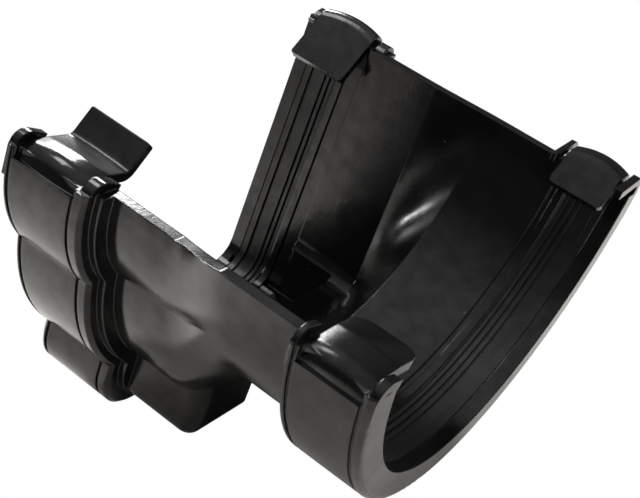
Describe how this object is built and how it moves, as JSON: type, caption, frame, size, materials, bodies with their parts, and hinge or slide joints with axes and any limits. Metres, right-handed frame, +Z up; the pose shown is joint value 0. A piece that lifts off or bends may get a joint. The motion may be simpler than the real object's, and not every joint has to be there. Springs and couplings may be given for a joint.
{
  "type": "gutter adaptor",
  "caption": "Open moulded gutter adaptor joining an ogee gutter to a half-round gutter, with ribbed rubber seals and snap clips over both rims.",
  "frame": {"origin": "centre of the half-round socket's mouth, on the axis of its bore", "axes": "+X out of the half-round mouth along the gutter, +Y from the front of the gutter to the wall behind it, +Z up; the ogee mouth faces -X"},
  "size_m": [0.102, 0.1272, 0.0979],
  "materials": {
    "body_plastic": "glossy black moulded PVC with faint mottling",
    "seal_rubber": "satin black ribbed rubber"
  },
  "bodies": {
    "root": {"adaptor_body": "body_plastic", "ogee_seal": "seal_rubber", "half_round_seal": "seal_rubber"}
  },
  "joints": []
}
